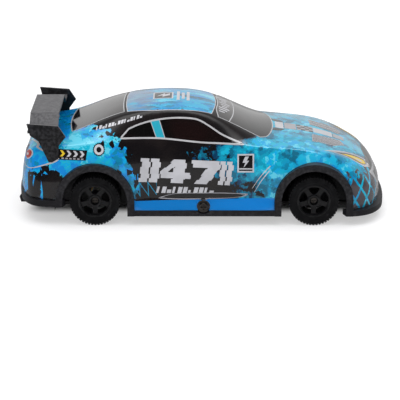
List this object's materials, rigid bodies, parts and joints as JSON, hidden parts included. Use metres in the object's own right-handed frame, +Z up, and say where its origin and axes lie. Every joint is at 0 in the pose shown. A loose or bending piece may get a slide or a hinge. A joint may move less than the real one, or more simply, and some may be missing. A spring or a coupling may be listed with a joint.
{
  "type": "remote control car",
  "caption": "Battery remote control touring car with a printed body shell, black skirt frame and rear wing, rear wheel drive gears and rack steering.",
  "frame": {"origin": "on the ground below the centre of the whole car's box", "axes": "+X towards the front of the car, +Y to its left, +Z up"},
  "size_m": [0.2, 0.0836, 0.0608],
  "materials": {
    "printed_shell": "printed under a gloss clear coat",
    "black_trim": "satin moulded black",
    "chassis_black": "matt moulded black",
    "rim_black": "satin black",
    "tyre": "matt rubber",
    "dark_steel": "blackened steel",
    "bright_steel": "bright steel",
    "brass": "turned brass",
    "gear_nylon": "natural nylon",
    "cell_wrap": "shrink wrap",
    "circuit_board": "solder mask green",
    "wire_insulation": "soft insulation"
  },
  "bodies": {
    "chassis": {"chassis_tub": "chassis_black", "body_shell": "printed_shell", "skirt_frame": "black_trim", "rear_wing": "black_trim", "wing_posts": "black_trim", "wing_screws": "dark_steel", "body_screws": "dark_steel", "battery_cell": "cell_wrap", "battery_contacts": "bright_steel", "receiver_board": "circuit_board", "board_screws": "bright_steel", "switch_housing": "chassis_black", "antenna_wire": "wire_insulation", "motor_can": "bright_steel", "motor_end_cap": "chassis_black", "gearbox_cover": "chassis_black", "gearbox_screws": "bright_steel", "reduction_pin": "bright_steel", "axle_bushes": "brass", "servo_housing": "chassis_black", "steering_bridge": "chassis_black", "bridge_screws": "bright_steel", "kingpins": "bright_steel"},
    "battery_door": {"battery_door": "chassis_black", "door_screw": "dark_steel"},
    "switch_knob": {"switch_knob": "chassis_black"},
    "rear_axle": {"rear_axle": "bright_steel", "axle_gear": "gear_nylon", "wheel_hexes": "gear_nylon", "rear_rim_left": "rim_black", "rear_rim_right": "rim_black", "rear_tyre_left": "tyre", "rear_tyre_right": "tyre", "rear_wheel_screws": "dark_steel"},
    "reduction_gear": {"reduction_gear": "gear_nylon"},
    "motor_rotor": {"motor_shaft": "bright_steel", "motor_pinion": "brass"},
    "knuckle_left": {"knuckle_left": "chassis_black", "front_screw_left": "dark_steel"},
    "knuckle_right": {"knuckle_right": "chassis_black", "front_screw_right": "dark_steel"},
    "steering_rack": {"steering_rack": "chassis_black"},
    "servo_horn": {"servo_horn": "gear_nylon"},
    "front_wheel_left": {"front_rim_left": "rim_black", "front_tyre_left": "tyre"},
    "front_wheel_right": {"front_rim_right": "rim_black", "front_tyre_right": "tyre"}
  },
  "joints": [
    {"name": "rear_axle_spin", "type": "hinge", "parent": "chassis", "child": "rear_axle", "pos_m": [-0.0572, 0, 0.0135], "axis": [0, 1, 0], "continuous": true},
    {"name": "reduction_spin", "type": "hinge", "parent": "chassis", "child": "reduction_gear", "pos_m": [-0.0492, 0.0145, 0.01606], "axis": [0, 1, 0], "continuous": true},
    {"name": "motor_spin", "type": "hinge", "parent": "chassis", "child": "motor_rotor", "pos_m": [-0.0415, 0, 0.01482], "axis": [0, 1, 0], "continuous": true},
    {"name": "steer_left", "type": "hinge", "parent": "chassis", "child": "knuckle_left", "pos_m": [0.0598, 0.025, 0.0135], "axis": [0, 0, 1], "range_deg": [-22, 22]},
    {"name": "steer_right", "type": "hinge", "parent": "chassis", "child": "knuckle_right", "pos_m": [0.0598, -0.025, 0.0135], "axis": [0, 0, 1], "range_deg": [-22.01, 22.01]},
    {"name": "rack_slide", "type": "slide", "parent": "chassis", "child": "steering_rack", "axis": [0, 1, 0], "range_m": [-0.003, 0.003]},
    {"name": "servo_turn", "type": "hinge", "parent": "chassis", "child": "servo_horn", "pos_m": [0.0458, 0, 0.018], "axis": [0, 0, 1], "range_deg": [-30.1, 30.1]},
    {"name": "front_left_spin", "type": "hinge", "parent": "knuckle_left", "child": "front_wheel_left", "pos_m": [0.0598, 0.0355, 0.0135], "axis": [0, 1, 0], "continuous": true},
    {"name": "front_right_spin", "type": "hinge", "parent": "knuckle_right", "child": "front_wheel_right", "pos_m": [0.0598, -0.0355, 0.0135], "axis": [0, 1, 0], "continuous": true},
    {"name": "switch_slide", "type": "slide", "parent": "chassis", "child": "switch_knob", "axis": [1, 0, 0], "range_m": [0, 0.002]},
    {"name": "battery_door_lift", "type": "slide", "parent": "chassis", "child": "battery_door", "axis": [0, 0, -1], "range_m": [0, 0.0045]}
  ],
  "couplings": [
    {"joint": "reduction_spin", "follows": "rear_axle_spin", "ratio": -2.5},
    {"joint": "motor_spin", "follows": "rear_axle_spin", "ratio": 8.3333},
    {"joint": "steer_right", "follows": "steer_left", "ratio": 1},
    {"joint": "rack_slide", "follows": "steer_left", "m_per_rad": -0.0078},
    {"joint": "servo_turn", "follows": "steer_left", "ratio": -1.3636}
  ]
}
